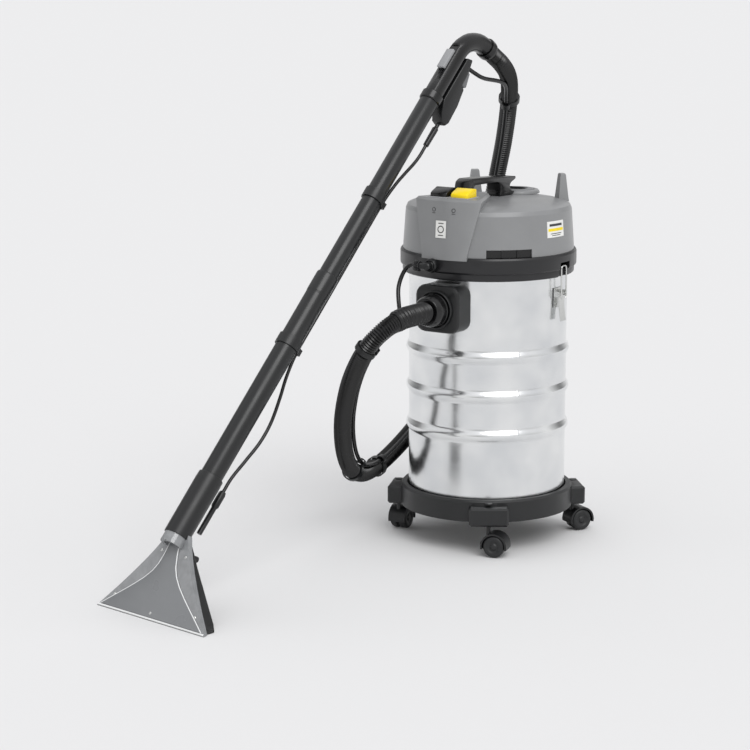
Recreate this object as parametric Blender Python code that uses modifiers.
"""Spray-extraction carpet cleaner: steel drum on a caster chassis, lift-off motor head, hose and wand.

Units are metres, +Z is up and the machine's front, with the hose inlet, faces -Y. Every piece is
modelled about the drum's axis and hangs from one empty, which sets the origin at the middle of the
floor area under the machine and its wand.
"""

import math

import bmesh
import bpy
from mathutils import Matrix, Vector

# ---------------------------------------------------------------- driving dimensions
GAP = 0.0003                # clearance between touching pieces

DRUM_RADIUS = 0.170
DRUM_WALL = 0.0012
DRUM_BOTTOM = 0.0755
DRUM_HEIGHT = 0.5150
RIB_LEVELS = (0.3385, 0.2545, 0.1705)   # below the drum's rim
RIB_DEPTH = 0.0060
RIB_WIDTH = 0.0300
DRUM_SEGMENTS = 40          # facets round the drum, and round the cut that clears it
DRUM_RIM = DRUM_BOTTOM + DRUM_HEIGHT
RIB_HEIGHTS = tuple(DRUM_RIM - level for level in RIB_LEVELS)

RING_OUTER = DRUM_RADIUS + 0.0195
RING_LIP_OUTER = DRUM_RADIUS + 0.0145
RING_LIP_DEPTH = 0.0155     # how far the lower lip reaches down over the drum
RING_HEIGHT = 0.0335
RING_PLATE = 0.0055
MOTOR_PORT_RADIUS = 0.064

HEAD_FOOT_RADIUS = RING_OUTER - 0.0055
HEAD_SHOULDER_RADIUS = HEAD_FOOT_RADIUS - 0.0060
HEAD_HEIGHT = 0.0980
HEAD_WALL = 0.0030
BLOCK_HEIGHT = 0.1215       # raised front block above the head's foot
BLOCK_FRONT = RING_OUTER + 0.0020   # radius of its curved front panel, at the foot
BLOCK_TOP_FRONT = BLOCK_FRONT - 0.0065
BLOCK_TOP_HALF = 0.0800
BLOCK_FOOT_HALF = 0.0550
BLOCK_SKIRT = 0.0060        # how far its panel reaches down over the ring
BLOCK_SKIRT_BACK = RING_OUTER - 0.0155
BLOCK_BACK = 0.0450

ROCKER_SIZE = (0.0400, 0.0400, 0.0240)
ROCKER_SPACING = 0.0500
ROCKER_PROUD = 0.0140
ROCKER_CENTRE_Y = -BLOCK_TOP_FRONT + 0.0380

CARRY_FRONT = ROCKER_CENTRE_Y + ROCKER_SIZE[1] / 2 + 0.0090
CARRY_REAR = 0.1050
CARRY_RISE = 0.0580         # top of the grip above the rear deck
CARRY_WIDTH = 0.0340
CARRY_THICKNESS = 0.0150

POST_RADIUS = HEAD_SHOULDER_RADIUS - 0.0120   # cord posts, measured from the drum's axis
POST_AZIMUTH = 139.0
POST_HEIGHT = 0.0640

CAP_RADIUS = 0.0380
CAP_CENTRE_Y = HEAD_SHOULDER_RADIUS - 0.0560
CAP_HEIGHT = 0.0180

RATING_AZIMUTH = 77.0
VENT_AZIMUTHS = (29.0, 60.0)
VENT_HEIGHT = 0.0170

CHASSIS_OUTER = DRUM_RADIUS + 0.0170
CHASSIS_BOTTOM = 0.0700
CHASSIS_HEIGHT = 0.0470
CHASSIS_FLOOR = 0.0050
LUG_OUTER = CHASSIS_OUTER + 0.0260
LUG_WIDTH = 0.0840
LUG_DROP = 0.0070           # lug's top below the ring's top

CASTER_AZIMUTHS = (32.0, 131.0, 212.0, 293.0)
CASTER_TURNS = (-106.5, -162.4, 158.0, 73.4)
CASTER_PIVOT_RADIUS = LUG_OUTER - 0.0190
CASTER_TRAIL = 0.0150
WHEEL_RADIUS = 0.0235
WHEEL_WIDTH = 0.0155
HOOD_RADIUS = 0.0290
STEM_RADIUS = 0.0050
AXLE_RADIUS = 0.0030
FIN_HALF = 0.0040

INLET_HEIGHT = DRUM_RIM - 0.0635
INLET_WIDTH = 0.1050
INLET_TALL = 0.1000
INLET_FACE = DRUM_RADIUS + 0.0430   # flange face from the drum's axis
INLET_BORE = 0.0240
CUFF_RADIUS = INLET_BORE + 0.0110
CUFF_LENGTH = 0.0420

LATCH_PIVOT_HEIGHT = DRUM_RIM - 0.0425
LATCH_WIDTH = 0.0300
LATCH_LEVER = 0.0580
LATCH_REACH = 0.0095        # pivot's distance outside the drum
BAIL_RADIUS = 0.0018
BAIL_TOP = DRUM_RIM + 0.0175

HOSE_RADIUS = 0.0190
SPRAY_RADIUS = 0.0045
HOSE_SPACING = 0.0390
SPRAY_SPACING = 0.0390

COLLAR_ACROSS = -0.057555         # wand's collar to one side of the drum's axis
COLLAR_BEHIND = 0.032347          # wand's collar behind the front block's face
COLLAR_RISE = 0.196634            # wand's collar above the front block
WAND_YAW = -10.84
WAND_LEAN = 42.0
NECK = (0.0, 0.0827, 0.1647)      # where the wand leaves the nozzle, from the lip's middle
LOWER_TUBE_RADIUS = 0.0228
LOWER_TUBE_TOP = 0.6100
UPPER_TUBE_RADIUS = LOWER_TUBE_RADIUS - 0.0023
ADAPTER_RADIUS = LOWER_TUBE_RADIUS + 0.0037
ADAPTER_TOP = 0.1240
TUBE_WALL = 0.0020
TUBE_OVERLAP = 0.0400             # push-fit length
GRIP_RADIUS = 0.0200
GRIP_BEND_START = 0.1300          # straight part of the grip above the upper tube
GRIP_BEND_RADIUS = 0.0660
GRIP_TURN = 82.0
GRIP_TAIL = 0.0030                # straight end after the bend
GRIP_CUFF = 0.0180
WAND_LINE_RADIUS = 0.0035

NOZZLE_HALF = 0.1570
NOZZLE_BACK_HALF = 0.1160
NOZZLE_NECK_HALF = 0.0270
NOZZLE_HEIGHT = 0.1780
NOZZLE_LEAN = 26.6
WINDOW_DEPTH = 0.0120
NOZZLE_DEPTH = 0.0550
MOUTH_GAP = 0.0070
NECK_RADIUS = 0.0245
SPIGOT_RADIUS = 0.0188

RING_TOP = DRUM_RIM + RING_HEIGHT + 0.0100
HEAD_FOOT = RING_TOP + GAP
DECK = HEAD_FOOT + HEAD_HEIGHT
BLOCK_TOP = HEAD_FOOT + BLOCK_HEIGHT
LEAN_SINE, LEAN_COSINE = math.sin(math.radians(WAND_LEAN)), math.cos(math.radians(WAND_LEAN))
YAW_SINE, YAW_COSINE = math.sin(math.radians(WAND_YAW)), math.cos(math.radians(WAND_YAW))
UPPER_TUBE_TOP = (BLOCK_TOP + COLLAR_RISE - NECK[2]) / LEAN_COSINE
WAND_REACH = NECK[1] + UPPER_TUBE_TOP * LEAN_SINE
WAND_FOOT = (COLLAR_ACROSS + WAND_REACH * YAW_SINE,      # middle of the nozzle's lip on the floor
             COLLAR_BEHIND - BLOCK_TOP_FRONT - WAND_REACH * YAW_COSINE)

# Route of the suction hose, from the inlet cuff, round behind the drum and up to the grip.
HOSE_ROUTE = (
    (0.000, -0.2558, 0.527), (0.000, -0.300, 0.527), (-0.003, -0.352, 0.524), (-0.022, -0.392, 0.502),
    (-0.055, -0.403, 0.460), (-0.097, -0.385, 0.402), (-0.137, -0.350, 0.340), (-0.176, -0.303, 0.274),
    (-0.204, -0.255, 0.208), (-0.222, -0.204, 0.157), (-0.232, -0.146, 0.132), (-0.237, -0.088, 0.132),
    (-0.236, -0.026, 0.150), (-0.231, 0.036, 0.180), (-0.222, 0.100, 0.222), (-0.200, 0.156, 0.285),
    (-0.178, 0.194, 0.370), (-0.163, 0.213, 0.470), (-0.146, 0.224, 0.580), (-0.128, 0.226, 0.680),
    (-0.108, 0.222, 0.765), (-0.085, 0.209, 0.840), (-0.060, 0.184, 0.915), (-0.038, 0.150, 0.968),
    (-0.0215, 0.1100, 0.9990), (-0.0150, 0.0720, 1.0220), (-0.0186, 0.0508, 1.0365),
              (-0.02165, 0.03488, 1.04747),
)
# The spray hose's own points at its two ends; between them it runs beside the suction hose.
SPRAY_START = ((-0.0502, -0.2115, 0.6150), (-0.0660, -0.2115, 0.6150), (-0.0800, -0.2160, 0.5980),
               (-0.0830, -0.2300, 0.5680), (-0.0700, -0.2480, 0.5330), (-0.0500, -0.2700, 0.5080),
               (-0.0280, -0.3000, 0.4980))
SPRAY_END = ((-0.0262, 0.0200, 0.9925), (-0.0312, -0.0110, 1.0050), (-0.0340, -0.0294, 1.0142),
             (-0.0358, -0.0390, 1.0189))
SPRAY_SPAN = (0.060, 0.960)       # shares of the suction hose's length that it runs beside
CLIP_SHARES = (0.105, 0.335, 0.385, 0.905)
CORD_NODES = ("suction_hose", "spray_hose", "spray_plug", "hose_clip_1", "hose_clip_2", "hose_clip_3",
              "hose_clip_4")
INNER_POINTS = ((0.00, (-0.05, -0.20, 0.36)), (0.40, (-0.05, -0.10, 0.36)), (0.60, (0.00, 0.00, 0.55)),
                (0.78, (0.00, 0.00, 0.80)), (1.00, (-0.02, 0.00, 0.90)))


# ---------------------------------------------------------------- materials
def srgb(code):
    """Linear colour of a six-digit sRGB hex code."""
    channels = [int(code[i:i + 2], 16) / 255 for i in (0, 2, 4)]
    return [c / 12.92 if c <= 0.04045 else ((c + 0.055) / 1.055) ** 2.4 for c in channels] + [1.0]


FINISHES = {
    "black_plastic": ("26272a", 0.50, 0.0),
    "grey_plastic": ("87888a", 0.45, 0.0),
    "yellow_plastic": ("f4d800", 0.35, 0.0),
    "steel": ("d5d7d9", 0.22, 1.0),
    "bright_steel": ("c9cbcd", 0.25, 1.0),
    "clear_plastic": ("b9bcbe", 0.15, 0.0),
    "tube_black": ("303133", 0.42, 0.0),
    "hose_black": ("191a1c", 0.45, 0.0),
    "rubber": ("1c1c1e", 0.70, 0.0),
    "foam": ("3b3d40", 0.95, 0.0),
    "label_white": ("e9e9e6", 0.50, 0.0),
    "motor_metal": ("9c9a94", 0.40, 1.0),
    "float_white": ("e6e4dc", 0.45, 0.0),
}


def material_for(node, finish):
    """A material of the node's own, with the finish's colour, roughness and metallic value."""
    colour, roughness, metallic = FINISHES[finish]
    material = bpy.data.materials.new(node)
    material.use_nodes = True
    shader = material.node_tree.nodes["Principled BSDF"]
    shader.inputs["Base Color"].default_value = srgb(colour)
    shader.inputs["Roughness"].default_value = roughness
    shader.inputs["Metallic"].default_value = metallic
    return material


# ---------------------------------------------------------------- scene helpers
def start_scene():
    """Clear the scene and return the part's collection and the cutters' collection."""
    for item in list(bpy.data.objects):
        bpy.data.objects.remove(item, do_unlink=True)
    collections = []
    for name in ("carpet_cleaner", "cutters"):
        group = bpy.data.collections.new(name)
        bpy.context.scene.collection.children.link(group)
        collections.append(group)
    return collections


PART, CUTTERS = start_scene()


def empty(name, parent=None, location=(0, 0, 0), turn=(0, 0, 0)):
    """An empty that carries other objects; turn is in degrees about X, Y and Z."""
    item = bpy.data.objects.new(name, None)
    item.empty_display_size = 0.03
    item.parent = parent
    item.location = location
    item.rotation_euler = [math.radians(a) for a in turn]
    PART.objects.link(item)
    return item


def place(name, data, finish, parent, location=(0, 0, 0), turn=(0, 0, 0)):
    """An object of the part with its own material."""
    item = bpy.data.objects.new(name, data)
    item.parent = parent
    item.location = location
    item.rotation_euler = [math.radians(a) for a in turn]
    data.materials.clear()
    data.materials.append(material_for(name, finish))
    PART.objects.link(item)
    return item


def cutter(name, data, parent, location=(0, 0, 0), turn=(0, 0, 0)):
    """A hidden tool for a Boolean modifier."""
    item = bpy.data.objects.new(name, data)
    item.parent = parent
    item.location = location
    item.rotation_euler = [math.radians(a) for a in turn]
    item.hide_render = True
    item.display_type = "WIRE"
    CUTTERS.objects.link(item)
    return item


def boolean(item, tool, operation="DIFFERENCE"):
    """Cut or join an object with a tool."""
    modifier = item.modifiers.new(operation.lower(), "BOOLEAN")
    modifier.operation = operation
    modifier.object = tool
    modifier.solver = "EXACT"
    return item


def bevel(item, width, segments=2, angle=35):
    """Round an object's sharper edges."""
    modifier = item.modifiers.new("bevel", "BEVEL")
    modifier.width = width
    modifier.segments = segments
    modifier.limit_method = "ANGLE"
    modifier.angle_limit = math.radians(angle)
    return item


# ---------------------------------------------------------------- mesh makers
def mesh_from(bm, name):
    """Turn a bmesh into a mesh with its faces pointing out."""
    bmesh.ops.recalc_face_normals(bm, faces=bm.faces)
    mesh = bpy.data.meshes.new(name)
    bm.to_mesh(mesh)
    bm.free()
    return mesh


def box_mesh(name, size, centre=(0, 0, 0)):
    """A box with the given full sizes."""
    bm = bmesh.new()
    bmesh.ops.create_cube(bm, size=1.0, matrix=Matrix.Translation(centre) @ Matrix.Diagonal((*size, 1)))
    return mesh_from(bm, name)


def cylinder_mesh(name, radius, length, axis="Z", centre=(0, 0, 0), segments=24):
    """A closed cylinder along one axis."""
    turns = {"Z": Matrix(), "X": Matrix.Rotation(math.pi / 2, 4, "Y"),
             "Y": Matrix.Rotation(-math.pi / 2, 4, "X")}
    bm = bmesh.new()
    bmesh.ops.create_cone(bm, cap_ends=True, segments=segments, radius1=radius, radius2=radius, depth=length,
                          matrix=Matrix.Translation(centre) @ turns[axis])
    return mesh_from(bm, name)


def profile_mesh(name, points, closed):
    """A line of edges through (radius, height) points, ready to be turned."""
    bm = bmesh.new()
    verts = [bm.verts.new((radius, 0.0, height)) for radius, height in points]
    for first, second in zip(verts, verts[1:]):
        bm.edges.new((first, second))
    if closed:
        bm.edges.new((verts[-1], verts[0]))
    mesh = bpy.data.meshes.new(name)
    bm.to_mesh(mesh)
    bm.free()
    return mesh


def screw(item, segments):
    """Turn the object's profile about its own Z axis."""
    modifier = item.modifiers.new("turn", "SCREW")
    modifier.axis = "Z"
    modifier.angle = math.tau
    modifier.steps = segments
    modifier.render_steps = segments
    modifier.use_merge_vertices = True
    modifier.merge_threshold = 0.00005
    modifier.use_smooth_shade = True
    return item


def turned(name, points, finish, parent, closed=True, segments=32, location=(0, 0, 0), turn=(0, 0, 0)):
    """A turned solid: points run down its outer side, then up its inner side or to the axis."""
    item = place(name, profile_mesh(name, points, closed), finish, parent, location, turn)
    return screw(item, segments)


def turned_cutter(name, points, parent, closed=False, segments=32, location=(0, 0, 0), turn=(0, 0, 0)):
    """A turned tool."""
    return screw(cutter(name, profile_mesh(name, points, closed), parent, location, turn), segments)


def rod_profile(radius, bottom, top):
    """Profile of a plain solid cylinder."""
    return ((0.0, top), (radius, top), (radius, bottom), (0.0, bottom))


def sleeve_profile(outer, inner, bottom, top):
    """Profile of a plain tube."""
    return ((outer, top), (outer, bottom), (inner, bottom), (inner, top))


def outline_mesh(name, outline, low, high, axis="Y"):
    """An outline of (x, z) points made solid from low to high along Y, or (y, z) points along X."""
    bm = bmesh.new()
    order = (lambda a, b, c: (a, c, b)) if axis == "Y" else (lambda a, b, c: (c, a, b))
    near = [bm.verts.new(order(a, b, low)) for a, b in outline]
    far = [bm.verts.new(order(a, b, high)) for a, b in outline]
    bm.faces.new(near)
    bm.faces.new(far)
    for i in range(len(outline)):
        j = (i + 1) % len(outline)
        bm.faces.new((near[i], near[j], far[j], far[i]))
    return mesh_from(bm, name)


def loft_mesh(name, sections):
    """A solid skinned over closed sections that have the same number of points."""
    bm = bmesh.new()
    rings = [[bm.verts.new(p) for p in section] for section in sections]
    for lower, upper in zip(rings, rings[1:]):
        for i in range(len(lower)):
            j = (i + 1) % len(lower)
            bm.faces.new((lower[i], lower[j], upper[j], upper[i]))
    bm.faces.new(rings[0])
    bm.faces.new(rings[-1])
    return mesh_from(bm, name)


def smooth_route(points, spacing):
    """Points at an even spacing on a smooth curve through the route's own points."""
    route = [Vector(p) for p in points]
    route = [2 * route[0] - route[1]] + route + [2 * route[-1] - route[-2]]
    fine = []
    for p0, p1, p2, p3 in zip(route, route[1:], route[2:], route[3:]):
        for step in range(12):
            t = step / 12
            fine.append(0.5 * (2 * p1 + (p2 - p0) * t + (2 * p0 - 5 * p1 + 4 * p2 - p3) * t * t
                               + (3 * p1 - p0 - 3 * p2 + p3) * t ** 3))
    fine.append(route[-2])
    length = sum((b - a).length for a, b in zip(fine, fine[1:]))
    count = max(2, round(length / spacing))
    even, travelled, index = [fine[0]], 0.0, 0
    for k in range(1, count):
        target = length * k / count
        while travelled + (fine[index + 1] - fine[index]).length < target:
            travelled += (fine[index + 1] - fine[index]).length
            index += 1
        piece = fine[index + 1] - fine[index]
        even.append(fine[index] + piece * ((target - travelled) / piece.length))
    even.append(fine[-1])
    return even


def rod_curve(name, points, radius, finish, parent, resolution=2):
    """A round solid rod, wire or cord along the points."""
    curve = bpy.data.curves.new(name, "CURVE")
    curve.dimensions = "3D"
    curve.bevel_depth = radius
    curve.bevel_resolution = resolution
    curve.use_fill_caps = True
    spline = curve.splines.new("POLY")
    spline.points.add(len(points) - 1)
    for knot, point in zip(spline.points, points):
        knot.co = (*point, 1.0)
    return place(name, curve, finish, parent)


def around(radius, azimuth, height=0.0):
    """A point at an azimuth in degrees from the front, towards +X."""
    angle = math.radians(azimuth)
    return (radius * math.sin(angle), -radius * math.cos(angle), height)


# ---------------------------------------------------------------- chassis and casters
def make_chassis(root):
    """Open ring that holds the drum's foot, with a floor and four caster lugs."""
    top = CHASSIS_BOTTOM + CHASSIS_HEIGHT
    inner = DRUM_RADIUS + 0.0035
    profile = ((inner, top), (CHASSIS_OUTER - 0.004, top), (CHASSIS_OUTER, top - 0.004),
               (CHASSIS_OUTER, CHASSIS_BOTTOM), (0.060, CHASSIS_BOTTOM),
               (0.060, CHASSIS_BOTTOM + CHASSIS_FLOOR), (inner, CHASSIS_BOTTOM + CHASSIS_FLOOR))
    chassis = turned("chassis", profile, "black_plastic", root, segments=48)
    for number, azimuth in enumerate(CASTER_AZIMUTHS, 1):
        depth = LUG_OUTER - inner - 0.002
        height = CHASSIS_HEIGHT - LUG_DROP
        lug = cutter(f"lug_{number}", box_mesh("lug", (LUG_WIDTH, depth, height),
                                               (0, -inner - 0.002 - depth / 2, 0)),
                     root, (0, 0, CHASSIS_BOTTOM + height / 2 - 0.0035), (0, 0, azimuth))
        boolean(chassis, bevel(lug, 0.004, 1), "UNION")
    for number, azimuth in enumerate(CASTER_AZIMUTHS, 1):
        bore = cylinder_mesh("bore", STEM_RADIUS + GAP, 0.060, centre=(0, 0, 0.010), segments=16)
        boolean(chassis, cutter(f"stem_bore_{number}", bore, root,
                                around(CASTER_PIVOT_RADIUS, azimuth, CHASSIS_BOTTOM - 0.007)))
    return chassis


def make_caster(root, number, azimuth, turn):
    """Twin-wheel caster: a hood with a swivel stem and a pair of wheels on one axle."""
    pivot = empty(f"caster_pivot_{number}", root, around(CASTER_PIVOT_RADIUS, azimuth),
                  (0, 0, azimuth + turn))
    axle = (0.0, CASTER_TRAIL, WHEEL_RADIUS)
    half = FIN_HALF + GAP + WHEEL_WIDTH
    hood = place(f"caster_hood_{number}", cylinder_mesh("hood", HOOD_RADIUS, 2 * half, "X", axle, 28),
                 "black_plastic", pivot)
    stem_top = CHASSIS_BOTTOM + 0.028
    stem = cylinder_mesh("stem", STEM_RADIUS, stem_top - axle[2], centre=(0, 0, (stem_top + axle[2]) / 2),
                         segments=16)
    boolean(hood, cutter(f"stem_{number}", stem, pivot), "UNION")
    boolean(hood, cutter(f"hood_foot_{number}", box_mesh("foot", (0.08, 0.08, 0.06),
                                                         (0, axle[1], axle[2] - 0.006 - 0.03)), pivot))
    for side in (-1, 1):
        space = cylinder_mesh("space", WHEEL_RADIUS + 0.0015, 0.030, "X",
                              (side * (FIN_HALF + 0.015), axle[1], axle[2]), 28)
        boolean(hood, cutter(f"wheel_space_{number}_{side}", space, pivot))
    boolean(hood, cutter(f"axle_bore_{number}",
                         cylinder_mesh("bore", AXLE_RADIUS + GAP, 0.03, "X", axle, 14), pivot))
    inner, outer = FIN_HALF + GAP, half
    edge = ((0.0, outer), (WHEEL_RADIUS - 0.005, outer - 0.0005), (WHEEL_RADIUS - 0.0006, outer - 0.0055),
            (WHEEL_RADIUS, outer - 0.008), (WHEEL_RADIUS, inner), (AXLE_RADIUS, inner))
    profile = edge + tuple((r, -h) for r, h in reversed(edge))
    turned(f"caster_wheels_{number}", profile, "black_plastic", pivot, closed=False, segments=24,
           location=axle, turn=(0, 90, 0))


# ---------------------------------------------------------------- drum and its fittings
def drum_profile(radius, bottom, top, ribs):
    """Outer side of the drum from its top edge down to the middle of its bottom."""
    points = [(radius, top)]
    for height in sorted(RIB_HEIGHTS, reverse=True):
        for share, out in ((0.5, 0.0), (0.2, 1.0), (-0.2, 1.0), (-0.5, 0.0)):
            points.append((radius + out * ribs, height + share * RIB_WIDTH))
    points += [(radius, bottom + 0.010), (radius - 0.003, bottom + 0.003), (radius - 0.010, bottom),
               (0.0, bottom)]
    return points


def make_drum(root):
    """Thin steel drum with three rolled ribs, a rolled rim and a hole for the inlet."""
    outer = drum_profile(DRUM_RADIUS, DRUM_BOTTOM, DRUM_RIM, RIB_DEPTH)
    inner = drum_profile(DRUM_RADIUS - DRUM_WALL, DRUM_BOTTOM + DRUM_WALL, DRUM_RIM, RIB_DEPTH)
    drum = turned("drum", inner[::-1] + outer, "steel", root, closed=False, segments=DRUM_SEGMENTS)
    hole = cylinder_mesh("hole", INLET_BORE + 0.0060, 0.06, "Y", (0, -DRUM_RADIUS, INLET_HEIGHT), 28)
    return boolean(drum, cutter("inlet_hole", hole, root))


def make_inlet(root):
    """Rounded-square flange on the drum, with a spigot through the wall and a bore for the cuff."""
    depth = INLET_FACE - DRUM_RADIUS + 0.030
    body = box_mesh("body", (INLET_WIDTH, depth, INLET_TALL), (0, -INLET_FACE + depth / 2, INLET_HEIGHT))
    flange = place("inlet_flange", body, "black_plastic", root)
    corners = flange.modifiers.new("corners", "BEVEL")
    corners.width = 0.022
    corners.segments = 4
    corners.limit_method = "WEIGHT"
    weights = flange.data.attributes.new("bevel_weight_edge", "FLOAT", "EDGE")
    for edge in flange.data.edges:
        first, second = (flange.data.vertices[v].co for v in edge.vertices)
        weights.data[edge.index].value = 1.0 if abs(first.y - second.y) > 0.01 else 0.0
    bevel(flange, 0.006, 2)
    clearance = DRUM_RADIUS + GAP
    boolean(flange, turned_cutter("drum_clearance", rod_profile(clearance, DRUM_BOTTOM, DRUM_RIM), root,
                                  segments=DRUM_SEGMENTS))
    spigot = cylinder_mesh("spigot", INLET_BORE + 0.0045, 0.055, "Y",
                           (0, -DRUM_RADIUS - 0.008, INLET_HEIGHT), 28)
    boolean(flange, cutter("inlet_spigot", spigot, root), "UNION")
    bore = cylinder_mesh("bore", INLET_BORE, 0.12, "Y", (0, -INLET_FACE + 0.03, INLET_HEIGHT), 28)
    boolean(flange, cutter("inlet_bore", bore, root))
    cuff_face = -INLET_FACE - GAP
    spigot_radius = INLET_BORE - 0.0005
    profile = ((CUFF_RADIUS - 0.006, CUFF_LENGTH), (CUFF_RADIUS, CUFF_LENGTH - 0.010), (CUFF_RADIUS, 0.0),
               (spigot_radius, 0.0), (spigot_radius, -0.022), (0.0190, -0.022), (0.0190, CUFF_LENGTH))
    turned("inlet_cuff", profile, "black_plastic", root, segments=28,
           location=(0, cuff_face, INLET_HEIGHT), turn=(90, 0, 0))
    hood_radius = INLET_BORE + 0.0090
    inner_wall = (DRUM_RADIUS - DRUM_WALL) * math.cos(math.pi / DRUM_SEGMENTS)
    start = math.sqrt(inner_wall ** 2 - hood_radius ** 2) - GAP   # clear of the drum's wall all round
    hood = turned("inlet_deflector", sleeve_profile(hood_radius, hood_radius - 0.0040, 0.0, 0.0240),
                  "black_plastic", root,
                  segments=28, location=(0, -start, INLET_HEIGHT), turn=(-90, 0, 0))
    return flange, hood


def make_latch(root, side):
    """Toggle latch: bracket on the drum, lever on the bracket, wire bail on the lever."""
    tag = "right" if side > 0 else "left"
    frame = empty(f"latch_frame_{tag}", root, (0, 0, 0), (0, 0, 0 if side > 0 else 180))
    pivot = (DRUM_RADIUS + LATCH_REACH, 0.0, LATCH_PIVOT_HEIGHT)
    half = LATCH_WIDTH / 2
    base = outline_mesh("base", ((-half - 0.002, -0.030), (half + 0.002, -0.030), (half + 0.002, 0.012),
                                 (-half - 0.002, 0.012)), 0.0, 0.0015, axis="X")
    bracket = place(f"latch_bracket_{tag}", base, "bright_steel", frame,
                    (DRUM_RADIUS + 0.0008, 0, LATCH_PIVOT_HEIGHT))
    for ear in (-1, 1):
        plate = box_mesh("ear", (LATCH_REACH + 0.0035, 0.0015, 0.012),
                         ((LATCH_REACH + 0.0035) / 2, ear * (half + 0.0012), 0.0))
        boolean(bracket, cutter(f"latch_ear_{tag}_{ear}", plate, frame,
                                (DRUM_RADIUS + 0.0012, 0, LATCH_PIVOT_HEIGHT)), "UNION")
    barrel = cylinder_mesh("barrel", 0.0030, 2 * half, "Y", segments=14)
    lever = place(f"latch_lever_{tag}", barrel, "bright_steel", frame, pivot)
    arm = outline_mesh("arm", ((-0.0010, 0.001), (0.0012, 0.001), (0.0022, -0.030), (0.0062, -LATCH_LEVER),
                               (0.0046, -LATCH_LEVER), (0.0002, -0.030)), -half + 0.004, half - 0.004)
    boolean(lever, cutter(f"latch_arm_{tag}", arm, frame, pivot), "UNION")
    foot = (DRUM_RADIUS + LATCH_REACH + 0.0062, 0.0, LATCH_PIVOT_HEIGHT - 0.0100)
    rise = BAIL_TOP - foot[2]
    inset = -(foot[0] - DRUM_RADIUS - 0.0150)
    wing = half - 0.0045
    route = ((0, -wing + 0.003, 0), (0, -wing, 0.004), (inset * 0.5, -wing, rise * 0.5),
             (inset, -wing, rise - 0.004),
             (inset, -wing + 0.004, rise), (inset, wing - 0.004, rise), (inset, wing, rise - 0.004),
             (inset * 0.5, wing, rise * 0.5), (0, wing, 0.004), (0, wing - 0.003, 0))
    bail = rod_curve(f"latch_bail_{tag}", route, BAIL_RADIUS, "bright_steel", frame, 2)
    bail.location = foot


# ---------------------------------------------------------------- motor head
def make_ring(head):
    """Black bumper ring: rim, lower lip over the drum and the plate that carries the motor."""
    lip_top = RING_TOP - RING_HEIGHT
    lip_bottom = lip_top - RING_LIP_DEPTH
    plate_bottom = DRUM_RIM + 0.0040
    plate_top = plate_bottom + RING_PLATE
    profile = ((RING_OUTER - 0.0095, RING_TOP), (RING_OUTER - 0.002, RING_TOP), (RING_OUTER, RING_TOP - 0.004),
               (RING_OUTER, lip_top + 0.003), (RING_OUTER - 0.002, lip_top),
               (RING_LIP_OUTER, lip_top - 0.001),
               (RING_LIP_OUTER, lip_bottom + 0.002), (RING_LIP_OUTER - 0.002, lip_bottom),
               (DRUM_RADIUS + 0.0040, lip_bottom), (DRUM_RADIUS + 0.0040, plate_bottom),
               (MOTOR_PORT_RADIUS, plate_bottom), (MOTOR_PORT_RADIUS, plate_top), (RING_OUTER - 0.0095, plate_top))
    ring = turned("bumper_ring", profile, "black_plastic", head, segments=48)
    notch = box_mesh("notch", (2 * BLOCK_FOOT_HALF + 2 * GAP, 0.05, 0.04),
                     (0, -BLOCK_SKIRT_BACK + GAP - 0.025, HEAD_FOOT - BLOCK_SKIRT - GAP + 0.02))
    boolean(ring, cutter("panel_notch", notch, head))
    for side in (-1, 1):
        recess = box_mesh("recess", (0.03, LATCH_WIDTH + 0.008, 0.05),
                          (side * (DRUM_RADIUS + 0.0075 + 0.015), 0, BAIL_TOP + 0.008 - 0.025))
        boolean(ring, cutter(f"latch_recess_{side}", recess, head))
    return ring


def block_section(half, radius, back, back_half, height):
    """One level of the front block: an arc at its front and two corners behind."""
    reach = math.degrees(math.asin(half / radius))
    front = [around(radius, -reach + 2 * reach * i / 6, height) for i in range(7)]
    return front + [(back_half, -back, height), (-back_half, -back, height)]


def block_mesh(name, grow, drop):
    """The raised front block: a wedge that narrows to the back, with a curved panel that leans back."""
    foot, bend = HEAD_FOOT - BLOCK_SKIRT + drop, HEAD_FOOT + 0.004 + drop
    top = BLOCK_TOP + grow
    low_half, high_half, back_half = BLOCK_FOOT_HALF + grow, BLOCK_TOP_HALF + grow, 0.030 + grow
    front, top_front = BLOCK_FRONT + grow, BLOCK_TOP_FRONT + grow
    return loft_mesh(name, (
        block_section(low_half, front, BLOCK_SKIRT_BACK, low_half - 0.002, foot),
        block_section(low_half, front, BLOCK_SKIRT_BACK, low_half - 0.002, bend),
        block_section(high_half, top_front, BLOCK_BACK - grow, back_half, top - 0.005),
        block_section(high_half - 0.005, top_front - 0.005, BLOCK_BACK - grow + 0.004, back_half - 0.003,
                      top)))


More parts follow.
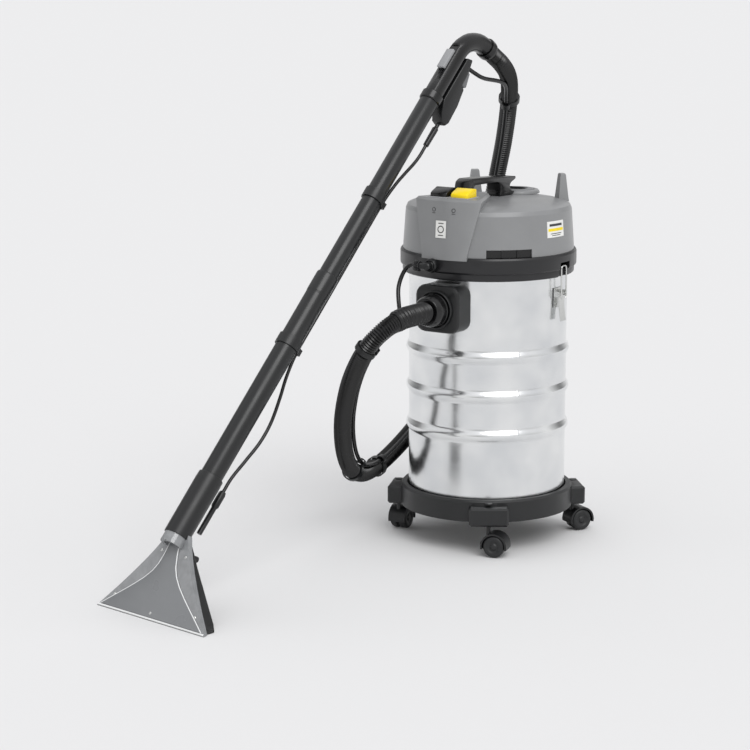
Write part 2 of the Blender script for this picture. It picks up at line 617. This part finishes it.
def make_head_shell(head):
    """Grey moulded hood with the raised switch block at its front and two cord posts at its rear."""
    foot, deck, dome = HEAD_FOOT, DECK, HEAD_SHOULDER_RADIUS - 0.058
    outer = ((0.0, deck + 0.010), (dome, deck + 0.007), (HEAD_SHOULDER_RADIUS - 0.016, deck + 0.002),
             (HEAD_SHOULDER_RADIUS - 0.004, deck - 0.003), (HEAD_SHOULDER_RADIUS, deck - 0.012),
             (HEAD_FOOT_RADIUS, foot), (0.0, foot))
    shell = turned("head_shell", outer, "grey_plastic", head, closed=False, segments=48)
    boolean(shell, cutter("front_block", block_mesh("block", 0.0, 0.0), head), "UNION")
    for side in (-1, 1):
        boolean(shell, cutter(f"post_{side}", post_mesh(), head,
                              around(POST_RADIUS, side * POST_AZIMUTH, deck - 0.004),
                              (0, 0, side * POST_AZIMUTH)), "UNION")
    inner = ((0.0, deck + 0.010 - HEAD_WALL), (dome, deck + 0.007 - HEAD_WALL),
             (HEAD_SHOULDER_RADIUS - 0.018, deck + 0.002 - HEAD_WALL),
             (HEAD_SHOULDER_RADIUS - HEAD_WALL, deck - 0.013),
             (HEAD_FOOT_RADIUS - HEAD_WALL, foot - 0.004), (0.0, foot - 0.004))
    boolean(shell, turned_cutter("head_space", inner, head, segments=48))
    boolean(shell, cutter("block_space", block_mesh("space", -HEAD_WALL, BLOCK_SKIRT + 0.002), head))
    for side in (-1, 1):
        size = tuple(s + 2 * clearance for s, clearance in zip(ROCKER_SIZE, (0.0008, 0.0016, 0.02)))
        well = box_mesh("well", size, (side * ROCKER_SPACING / 2, ROCKER_CENTRE_Y, BLOCK_TOP))
        boolean(shell, cutter(f"rocker_well_{side}", well, head))
    vent_cut = vent_mesh("vent_cut", GAP, 0.0)
    boolean(shell, cutter("vent_notch", vent_cut, head))
    return shell


def post_mesh():
    """A tapered cord post."""
    sections = []
    for height, wide, deep in ((0.0, 0.0150, 0.0120), (0.010, 0.0135, 0.0105),
                               (POST_HEIGHT - 0.003, 0.0085, 0.0062),
                               (POST_HEIGHT, 0.0070, 0.0048)):
        sections.append([(-wide, -deep, height), (wide, -deep, height), (wide, deep, height),
                         (-wide, deep, height)])
    return loft_mesh("post", sections)


def vent_mesh(name, grow, inset):
    """A curved block that fills the vent notch in the head's foot."""
    start, end = VENT_AZIMUTHS
    steps = 6
    outer_radius = HEAD_FOOT_RADIUS + 0.004 * (inset == 0.0) - inset
    inner_radius = HEAD_FOOT_RADIUS - 0.010 - 20 * grow
    extra = math.degrees(grow / HEAD_FOOT_RADIUS)
    azimuths = [start - extra + (end - start + 2 * extra) * i / steps for i in range(steps + 1)]
    ring = [around(outer_radius, a) for a in azimuths] + [around(inner_radius, a) for a in reversed(azimuths)]
    low = HEAD_FOOT - (0.002 if inset == 0.0 else 0.0)
    high = HEAD_FOOT + VENT_HEIGHT + grow
    return loft_mesh(name, [[(x, y, low) for x, y, _ in ring], [(x, y, high) for x, y, _ in ring]])


def make_vent(head):
    """Black air outlet grille with two upright ribs."""
    grille = place("vent_grille", vent_mesh("vent", 0.0, 0.0035), "black_plastic", head)
    start, end = VENT_AZIMUTHS
    for share in (0.33, 0.67):
        azimuth = start + (end - start) * share
        rib = box_mesh("rib", (0.0035, 0.008, VENT_HEIGHT - 0.002), (0, 0, 0))
        boolean(grille, cutter(f"vent_rib_{share}", rib, head,
                               around(HEAD_FOOT_RADIUS - 0.0045, azimuth, HEAD_FOOT + VENT_HEIGHT / 2),
                               (0, 0, azimuth)), "UNION")
    return grille


def make_rockers(head):
    """Two rocker switches in the top of the front block."""
    for name, side, finish in (("rocker_yellow", 1, "yellow_plastic"), ("rocker_black", -1, "black_plastic")):
        wide, deep, tall = ROCKER_SIZE
        outline = ((-deep / 2, -tall / 2), (deep / 2, -tall / 2), (deep / 2, tall * 0.42),
                   (deep * 0.12, tall / 2),
                   (-deep * 0.38, tall * 0.18), (-deep / 2, tall * 0.02))
        body = outline_mesh(name, outline, -wide / 2, wide / 2, axis="X")
        rocker = place(name, body, finish, head,
                       (side * ROCKER_SPACING / 2, ROCKER_CENTRE_Y,
                        BLOCK_TOP + ROCKER_PROUD - tall * 0.25))
        bevel(rocker, 0.0018, 2)


def make_carry_handle(head):
    """Grip bar from the front block to a pedestal on the rear deck, open under the bar."""
    top = DECK + CARRY_RISE
    under = top - CARRY_THICKNESS
    block_top = BLOCK_TOP + GAP
    deck = DECK + 0.0106
    outline = ((CARRY_FRONT - 0.004, block_top), (CARRY_FRONT + 0.016, block_top),
               (CARRY_FRONT + 0.022, under - 0.004),
               (CARRY_FRONT + 0.030, under), (0.004, under), (0.012, under - 0.006), (0.014, deck),
               (0.084, deck),
               (0.082, under - 0.004), (CARRY_REAR - 0.003, top - 0.009), (CARRY_REAR, top),
               (CARRY_FRONT + 0.016, top),
               (CARRY_FRONT + 0.003, top - 0.007))
    handle = place("carry_handle", outline_mesh("handle", outline, -CARRY_WIDTH / 2, CARRY_WIDTH / 2,
                                                axis="X"),
                   "black_plastic", head)
    return bevel(handle, 0.0035, 2, 30)


def make_head_trim(head):
    """Fill cap, mains inlet gland, two blank plates and the spray socket with its plug."""
    cap_seat = DECK + 0.0105
    low = cap_seat - 0.0040
    cap = turned("fill_cap", ((0.0, low + CAP_HEIGHT - 0.003), (0.022, low + CAP_HEIGHT - 0.003),
                              (0.024, low + CAP_HEIGHT),
                              (CAP_RADIUS - 0.003, low + CAP_HEIGHT), (CAP_RADIUS, low + CAP_HEIGHT - 0.004),
                              (CAP_RADIUS, cap_seat), (0.0, cap_seat)), "grey_plastic", head,
                 closed=False, segments=28, location=(0, CAP_CENTRE_Y, 0))
    gland_height = HEAD_FOOT + 0.040
    turned("mains_gland", ((0.0, 0.022), (0.0060, 0.022), (0.0085, 0.006), (0.0130, 0.006), (0.0130, 0.0),
                           (0.0, 0.0)),
           "black_plastic", head, closed=False, segments=20,
           location=(0, HEAD_FOOT_RADIUS - 0.0015, gland_height),
           turn=(-90, 0, 0))
    place("rating_plate", box_mesh("rating_plate", (0.0340, 0.0006, 0.0300)), "label_white", head,
          around(HEAD_FOOT_RADIUS - 0.0009, RATING_AZIMUTH, HEAD_FOOT + 0.045), (3.3, 0, RATING_AZIMUTH))
    slope = (BLOCK_FRONT - BLOCK_TOP_FRONT) / (BLOCK_HEIGHT - 0.009)
    plate_rise = 0.058
    forward = BLOCK_FRONT - slope * (plate_rise - 0.004)
    place("symbol_plate", box_mesh("symbol_plate", (0.0250, 0.0006, 0.0360)), "label_white", head,
          around(forward + 0.0003 + GAP, -1.5, HEAD_FOOT + plate_rise),
          (-math.degrees(math.atan(slope)), 0, -1.5))
    return cap


def make_spray_socket(head, root):
    """Boss on the ring that the spray hose's elbow plug pushes against."""
    height = RING_TOP - 0.0190
    centre = (-0.0240, -RING_OUTER - 0.0005, height)
    turned("spray_socket", ((0.0, 0.0140), (0.0085, 0.0140), (0.0100, 0.0125), (0.0100, 0.0), (0.0, 0.0)),
           "black_plastic", head, closed=False, segments=20, location=centre, turn=(90, 0, 0))
    face = centre[1] - 0.0140 - GAP
    plug = turned("spray_plug", ((0.0, 0.0140), (0.0070, 0.0140), (0.0090, 0.0120), (0.0090, 0.0),
                                 (0.0, 0.0)),
                  "black_plastic", root, closed=False, segments=20, location=(centre[0], face, height),
                  turn=(90, 0, 0))
    nut = cylinder_mesh("nut", 0.0075, 0.0250, "X", (centre[0] - 0.0130, face - 0.0072, height), 16)
    boolean(plug, cutter("plug_nut", nut, root), "UNION")
    return plug


def make_inside(head):
    """Motor, pump and the filter group that hangs into the drum."""
    plate_bottom = DRUM_RIM + 0.0040
    plate_top = plate_bottom + RING_PLATE
    turned("motor", ((0.0, 0.086), (0.022, 0.086), (0.022, 0.074), (0.048, 0.070), (0.048, 0.030),
                     (0.074, 0.028),
                     (0.074, 0.0), (0.0, 0.0)), "motor_metal", head, closed=False, segments=28,
           location=(0, 0, plate_top + GAP))
    turned("pump", ((0.0, 0.052), (0.018, 0.052), (0.018, 0.024), (0.024, 0.022), (0.024, 0.0), (0.0, 0.0)),
           "black_plastic", head, closed=False, segments=20, location=(0.105, 0.075, plate_top + GAP))
    rim = plate_bottom - GAP
    cage = turned("filter_cage", ((0.0, -0.102), (0.053, -0.102), (0.053, 0.0), (0.080, 0.0), (0.080, -0.004),
                                  (0.056, -0.004), (0.056, -0.105), (0.0, -0.105)), "black_plastic", head,
                  closed=False, segments=28, location=(0, 0, rim))
    for number in range(6):
        window = box_mesh("window", (0.030, 0.020, 0.070), (0, -0.055, -0.052))
        boolean(cage, cutter(f"cage_window_{number}", window, head, (0, 0, rim), (0, 0, 60 * number)))
    turned("foam_filter", sleeve_profile(0.066, 0.0565, -0.100, -0.0045), "foam", head, segments=28,
           location=(0, 0, rim))
    turned("float_ball", tuple((0.020 * math.sin(math.pi * i / 10), 0.020 * math.cos(math.pi * i / 10))
                               for i in range(11)), "float_white", head, closed=False, segments=16,
           location=(0, 0, rim - 0.102 + 0.0203))
    turned("drum_gasket", sleeve_profile(DRUM_RADIUS + 0.0034, DRUM_RADIUS - 0.010, 0.0, 0.0030), "rubber",
           head,
           segments=40, location=(0, 0, DRUM_RIM + 0.0005))


# ---------------------------------------------------------------- wand
def wand_frames(root):
    """Empties for the nozzle's foot, its leaning face, the wand's axis and the grip above its tubes."""
    foot = empty("wand_foot", root, (*WAND_FOOT, 0.0), (0, 0, WAND_YAW))
    face = empty("nozzle_face", foot, (0, 0, 0), (-NOZZLE_LEAN, 0, 0))
    axis = empty("wand_axis", foot, NECK, (-WAND_LEAN, 0, 0))
    grip = empty("grip_frame", axis, (0, 0, UPPER_TUBE_TOP))
    return foot, face, axis, grip


def fan_half(height, foot, neck):
    """Half-width of the nozzle at a height up its face."""
    share = min(1.0, max(0.0, height / NOZZLE_HEIGHT))
    return neck + (foot - neck) * (1.0 - share) ** 1.22


def fan_outline(foot, neck, low, high, steps=8):
    """Outline of the fan shape between two heights."""
    heights = [low + (high - low) * i / steps for i in range(steps + 1)]
    right = [(fan_half(h, foot, neck), h) for h in heights]
    return right + [(-x, h) for x, h in reversed(right)]


def make_nozzle(foot, face, axis):
    """Floor nozzle: clear front window over a suction channel, and a black back body."""
    window = place("nozzle_window", outline_mesh("window",
                                                 fan_outline(NOZZLE_HALF, NOZZLE_NECK_HALF, 0.0,
                                                             NOZZLE_HEIGHT),
                                                 0.0, WINDOW_DEPTH), "clear_plastic", face)
    channel = outline_mesh("channel", fan_outline(NOZZLE_HALF - 0.006, NOZZLE_NECK_HALF - 0.012, -0.02,
                                                  NOZZLE_HEIGHT + 0.01), WINDOW_DEPTH - MOUTH_GAP,
                           WINDOW_DEPTH + 0.01)
    boolean(window, cutter("suction_channel", channel, face))
    neck = cutter("window_neck", cylinder_mesh("neck", NECK_RADIUS, 0.0485, centre=(0, 0, -0.01075),
                                               segments=28), axis)
    boolean(window, neck, "UNION")
    boolean(window, cutter("window_back",
                           box_mesh("back", (0.4, 0.08, 0.4), (0, WINDOW_DEPTH + 0.04, 0.10)), face))
    seat = cylinder_mesh("seat", SPIGOT_RADIUS + GAP, 0.05, centre=(0, 0, 0.025 + 0.0017), segments=28)
    boolean(window, cutter("spigot_seat", seat, axis))
    bore = cutter("neck_bore", cylinder_mesh("bore", SPIGOT_RADIUS - 0.0025, 0.13, centre=(0, 0, 0.020),
                                             segments=24), axis)
    boolean(window, bore)
    sections = []
    for i in range(8):
        height = -0.03 + (NOZZLE_HEIGHT + 0.040) * i / 7
        near = fan_half(height, NOZZLE_HALF - 0.004, NOZZLE_NECK_HALF)
        far = fan_half(height, NOZZLE_BACK_HALF, NOZZLE_NECK_HALF - 0.004)
        depth = NOZZLE_DEPTH
        sections.append([(-near, WINDOW_DEPTH + GAP, height), (near, WINDOW_DEPTH + GAP, height),
                         (near, WINDOW_DEPTH + 0.008, height), (far, depth, height), (-far, depth, height),
                         (-near, WINDOW_DEPTH + 0.008, height)])
    back = place("nozzle_back", loft_mesh("back", sections), "black_plastic", face)
    floor = box_mesh("floor", (0.6, 0.6, 0.2), (0, 0, -0.1))
    boolean(window, cutter("window_floor", floor, foot))
    boolean(back, cutter("back_floor", floor, foot))
    spigot = cylinder_mesh("spigot", SPIGOT_RADIUS, 0.046, centre=(0, 0, 0.002 + 0.023), segments=28)
    boolean(back, cutter("neck_spigot", spigot, axis), "UNION")
    boolean(back, bore)
    stub = cylinder_mesh("stub", 0.0065, 0.016, "Y", (0, NOZZLE_DEPTH + 0.006, NOZZLE_HEIGHT - 0.036), 16)
    boolean(back, cutter("jet_stub", stub, face), "UNION")
    screw_height = 0.030
    screw_reach = fan_half(screw_height, NOZZLE_HALF, NOZZLE_NECK_HALF) - 0.014
    for tag, across, height in (("left", -screw_reach, screw_height), ("right", screw_reach, screw_height)):
        turned(f"nozzle_screw_{tag}", ((0.0, 0.0015), (0.0030, 0.0015), (0.0040, 0.0), (0.0, 0.0)),
               "bright_steel", face, closed=False, segments=14, location=(across, -GAP, height),
               turn=(90, 0, 0))


def make_wand_tubes(axis):
    """Adapter and two push-fit tubes; each upper tube's tail slides into the one below it."""
    fit = 0.0004
    neck_bottom = 0.014
    bore = LOWER_TUBE_RADIUS + fit
    turned("wand_adapter", ((ADAPTER_RADIUS, ADAPTER_TOP), (ADAPTER_RADIUS, neck_bottom + 0.006),
                            (ADAPTER_RADIUS - 0.003, neck_bottom), (SPIGOT_RADIUS + 0.0006, neck_bottom),
                            (SPIGOT_RADIUS + 0.0006, ADAPTER_TOP - TUBE_OVERLAP),
                            (bore, ADAPTER_TOP - TUBE_OVERLAP), (bore, ADAPTER_TOP)),
           "black_plastic", axis, segments=28)
    lower_bore = LOWER_TUBE_RADIUS - TUBE_WALL
    turned("wand_tube_lower", sleeve_profile(LOWER_TUBE_RADIUS, lower_bore, ADAPTER_TOP - TUBE_OVERLAP + GAP,
                                             LOWER_TUBE_TOP), "tube_black", axis, segments=28)
    upper = lower_bore - fit
    turned("wand_tube_upper", ((UPPER_TUBE_RADIUS, UPPER_TUBE_TOP), (UPPER_TUBE_RADIUS, LOWER_TUBE_TOP + GAP),
                               (upper, LOWER_TUBE_TOP + GAP - 0.0001), (upper, LOWER_TUBE_TOP - TUBE_OVERLAP),
                               (upper - TUBE_WALL, LOWER_TUBE_TOP - TUBE_OVERLAP),
                               (upper - TUBE_WALL, UPPER_TUBE_TOP)),
           "tube_black", axis, segments=28)


def make_grip(axis):
    """Bent grip with its collar, trigger housing, trigger, air slider and hose cuff."""
    low = GAP
    centre = (0.0, GRIP_BEND_RADIUS, GRIP_BEND_START)
    route = [(0.0, 0.0, low + (GRIP_BEND_START - low) * i / 3) for i in range(3)]
    for step in range(9):
        angle = math.radians(GRIP_TURN * step / 8)
        route.append((0.0, centre[1] - GRIP_BEND_RADIUS * math.cos(angle),
                      centre[2] + GRIP_BEND_RADIUS * math.sin(angle)))
    last = Vector(route[-1])
    leaving = Vector((0.0, math.sin(angle), math.cos(angle)))
    route.append(last + leaving * GRIP_TAIL)
    tube = rod_curve("grip_raw", route, GRIP_RADIUS, "black_plastic", None, 5)
    bpy.context.view_layer.update()
    solid = bpy.data.meshes.new_from_object(tube.evaluated_get(bpy.context.evaluated_depsgraph_get()))
    bm = bmesh.new()
    bm.from_mesh(solid)
    bmesh.ops.remove_doubles(bm, verts=bm.verts, dist=0.00002)
    bm.to_mesh(solid)
    bm.free()
    bpy.data.objects.remove(tube, do_unlink=True)
    grip = place("grip", solid, "black_plastic", axis)
    collar = cutter("grip_collar", cylinder_mesh("collar", GRIP_RADIUS + 0.0035, 0.020,
                                                 centre=(0, 0, low + 0.010),
                                                 segments=28), axis)
    boolean(grip, bevel(collar, 0.002, 1), "UNION")
    seat = box_mesh("seat", (0.0210, 0.010, 0.0645), (0, -GRIP_RADIUS - 0.0005, 0.10675))
    boolean(grip, cutter("slider_seat", seat, axis))
    housing_outline = ((GRIP_RADIUS + 0.0008, 0.0250), (0.034, 0.0000), (0.046, -0.0150), (0.060, -0.0160),
                       (0.066, -0.0040),
                       (0.064, 0.0400), (0.056, 0.0780), (0.046, 0.0820), (0.044, 0.1150), (0.036, 0.1420),
                       (GRIP_RADIUS + 0.0008, 0.1350))
    housing = place("trigger_housing", outline_mesh("housing", housing_outline, -0.0150, 0.0150, axis="X"),
                    "black_plastic", axis)
    bevel(housing, 0.003, 2, 50)
    pocket = box_mesh("pocket", (0.0186, 0.0305, 0.0390), (0, 0.05475, 0.1015))
    boolean(housing, cutter("trigger_pocket", pocket, axis))
    trigger_outline = ((0.0480, 0.0846), (0.0590, 0.0846), (0.0640, 0.0900), (0.0540, 0.1190),
                       (0.0470, 0.1190))
    trigger = place("trigger", outline_mesh("trigger", trigger_outline, -0.0085, 0.0085, axis="X"),
                    "grey_plastic", axis)
    bevel(trigger, 0.0015, 1, 50)
    slider = place("air_slider", box_mesh("slider", (0.0200, 0.0080, 0.0480)), "grey_plastic", axis,
                   (0, -GRIP_RADIUS + 0.0002, 0.1000))
    bevel(slider, 0.0015, 2)
    turned("hose_cuff_upper", ((0.0, GRIP_CUFF), (GRIP_RADIUS + 0.0015, GRIP_CUFF),
                               (GRIP_RADIUS + 0.0030, GRIP_CUFF - 0.006),
                               (GRIP_RADIUS + 0.0030, 0.0), (0.0, 0.0)), "black_plastic", axis, closed=False,
           segments=24, location=last + leaving * (GRIP_TAIL + GAP), turn=(-GRIP_TURN, 0, 0))


def make_wand_line(axis):
    """Spray line from the trigger housing down the back of the wand to the nozzle, with clips."""
    nut_bottom, nut_top = UPPER_TUBE_TOP - 0.0740, UPPER_TUBE_TOP - 0.0170
    coupler_bottom, coupler_top = 0.0200, 0.1180
    line_start, line_end = nut_bottom - GAP, coupler_top + GAP
    drops = ((0.0535, 0.1000), (0.0500, 0.1250), (0.0420, 0.1570), (0.0345, 0.1920))
    upper = tuple((0.0, back, UPPER_TUBE_TOP - drop) for back, drop in drops)
    stands = ((0.0068, 0.8200), (0.0064, 0.7400), (0.0072, 0.6400), (0.0077, 0.5400), (0.0084, 0.4440),
              (0.0172, 0.3900), (0.0312, 0.3450), (0.0432, 0.2950), (0.0442, 0.2480), (0.0352, 0.1980),
              (0.0262, 0.1520), (0.0252, line_end))
    lower = tuple((0.0, LOWER_TUBE_RADIUS + stand, height) for stand, height in stands)
    route = ((0.0, 0.0535, line_start), *upper, *lower)
    rod_curve("wand_line", smooth_route(route, 0.024), WAND_LINE_RADIUS, "hose_black", axis, 2)
    turned("line_nut", ((0.0, nut_top), (0.0045, nut_top), (0.0045, nut_top - 0.010),
                        (0.0068, nut_top - 0.012),
                        (0.0060, nut_bottom), (0.0, nut_bottom)), "black_plastic", axis, closed=False,
           segments=14,
           location=(0.0, 0.0535, 0.0))
    turned("line_coupler", ((0.0, coupler_top), (0.0060, coupler_top), (0.0078, coupler_top - 0.006),
                            (0.0078, coupler_top - 0.034), (0.0055, coupler_top - 0.038),
                            (0.0055, coupler_bottom),
                            (0.0, coupler_bottom)), "black_plastic", axis, closed=False, segments=14,
           location=(0.0, LOWER_TUBE_RADIUS + 0.0252, 0.0))
    for number, height, radius, line_y in ((1, 0.812, UPPER_TUBE_RADIUS, UPPER_TUBE_RADIUS + 0.0091),
                                           (2, 0.444, LOWER_TUBE_RADIUS, LOWER_TUBE_RADIUS + 0.0084)):
        clip_inner = radius + GAP
        clip = turned(f"wand_clip_{number}", sleeve_profile(clip_inner + 0.0030, clip_inner, -0.011, 0.011),
                      "black_plastic", axis, segments=24, location=(0, 0, height))
        hook = box_mesh("hook", (0.014, line_y - radius + 0.0045, 0.014),
                        (0, radius + 0.0015 + (line_y - radius + 0.0045) / 2, height))
        boolean(clip, cutter(f"clip_hook_{number}", hook, axis), "UNION")
        way = cylinder_mesh("way", WAND_LINE_RADIUS + 0.0012, 0.05, centre=(0, line_y, height), segments=12)
        boolean(clip, cutter(f"clip_way_{number}", way, axis))


# ---------------------------------------------------------------- hoses
def inner_point(share):
    """Where the inner side of the hose's loops faces, at a share of its length."""
    for (start, first), (end, second) in zip(INNER_POINTS, INNER_POINTS[1:]):
        if share <= end:
            return Vector(first).lerp(Vector(second), (share - start) / (end - start))
    return Vector(INNER_POINTS[-1][1])


def beside(points, distance):
    """The same route moved sideways, at right angles to itself, to the inner side of its loops."""
    moved = []
    for i, point in enumerate(points):
        along = (points[min(i + 1, len(points) - 1)] - points[max(i - 1, 0)]).normalized()
        out = inner_point(i / (len(points) - 1)) - point
        out -= along * out.dot(along)
        moved.append(point + out.normalized() * distance)
    return moved


def thinned(points, first, last):
    """Every third point, with all of the first and last ones kept so that the ends stay straight."""
    return points[:first] + points[first:-last:3] + points[-last:]


def make_hoses(root):
    """Suction hose, the thin spray hose beside it and the clips that hold them together."""
    suction = smooth_route(HOSE_ROUTE, HOSE_SPACING / 3)
    first_kept, last_kept = 6, 5
    rod_curve("suction_hose", thinned(suction, first_kept, last_kept), HOSE_RADIUS, "hose_black", root, 2)
    distance = HOSE_RADIUS + SPRAY_RADIUS + 0.0020
    companion = beside(suction, distance)
    first, last = (round(share * (len(suction) - 1)) for share in SPRAY_SPAN)
    route = SPRAY_START + tuple(companion[first:last:5]) + SPRAY_END
    spray = smooth_route(route, SPRAY_SPACING / 3)
    rod_curve("spray_hose", thinned(spray, 15, 6), SPRAY_RADIUS, "hose_black", root, 2)
    for number, share in enumerate(CLIP_SHARES, 1):
        knot = first_kept + 3 * round((share * (len(suction) - 1) - first_kept) / 3)
        centre = suction[knot]
        along = (suction[knot + 3] - suction[knot - 3]).normalized()
        out = companion[knot] - centre
        out = (out - along * out.dot(along)).normalized()
        across = out.cross(along)
        frame = Matrix((across, out, along)).transposed().to_4x4()
        frame.translation = centre
        holder = empty(f"clip_frame_{number}", root)
        holder.matrix_local = frame
        clip = turned(f"hose_clip_{number}",
                      sleeve_profile(HOSE_RADIUS + 0.0044, HOSE_RADIUS + 0.0016, -0.006, 0.006),
                      "black_plastic", holder, segments=20)
        loop = cutter(f"clip_loop_{number}",
                      cylinder_mesh("loop", SPRAY_RADIUS + 0.0048, 0.012, centre=(0, distance, 0),
                                                           segments=16), holder)
        boolean(clip, loop, "UNION")
        boolean(clip, cutter(f"clip_hose_{number}",
                             cylinder_mesh("way", HOSE_RADIUS + 0.0016, 0.04, segments=24), holder))
        boolean(clip, cutter(f"clip_spray_{number}", cylinder_mesh("way", SPRAY_RADIUS + 0.0028, 0.04,
                                                                   centre=(0, distance, 0), segments=14),
                             holder))


def centre_origin(root):
    """Move the whole machine so that the origin is at the middle of its floor area."""
    bpy.context.view_layer.update()
    graph = bpy.context.evaluated_depsgraph_get()
    low, high = Vector((1e9, 1e9, 1e9)), Vector((-1e9, -1e9, -1e9))
    for item in PART.objects:
        if item.type == "EMPTY" or item.name in CORD_NODES:
            continue
        copy = bpy.data.meshes.new_from_object(item.evaluated_get(graph))
        for vertex in copy.vertices:
            point = item.matrix_world @ vertex.co
            low = Vector(map(min, low, point))
            high = Vector(map(max, high, point))
        bpy.data.meshes.remove(copy)
    root.location = (-(low.x + high.x) / 2, -(low.y + high.y) / 2, 0.0)


ROOT = empty("machine")
HEAD = empty("head", ROOT)
make_chassis(ROOT)
for index, (azimuth_now, turn_now) in enumerate(zip(CASTER_AZIMUTHS, CASTER_TURNS), 1):
    make_caster(ROOT, index, azimuth_now, turn_now)
make_drum(ROOT)
make_inlet(ROOT)
make_latch(ROOT, 1)
make_latch(ROOT, -1)
make_ring(HEAD)
make_head_shell(HEAD)
make_vent(HEAD)
make_rockers(HEAD)
make_carry_handle(HEAD)
make_head_trim(HEAD)
make_spray_socket(HEAD, ROOT)
make_inside(HEAD)
FOOT, FACE, AXIS, GRIP = wand_frames(ROOT)
make_nozzle(FOOT, FACE, AXIS)
make_wand_tubes(AXIS)
make_grip(GRIP)
make_wand_line(AXIS)
make_hoses(ROOT)
centre_origin(ROOT)
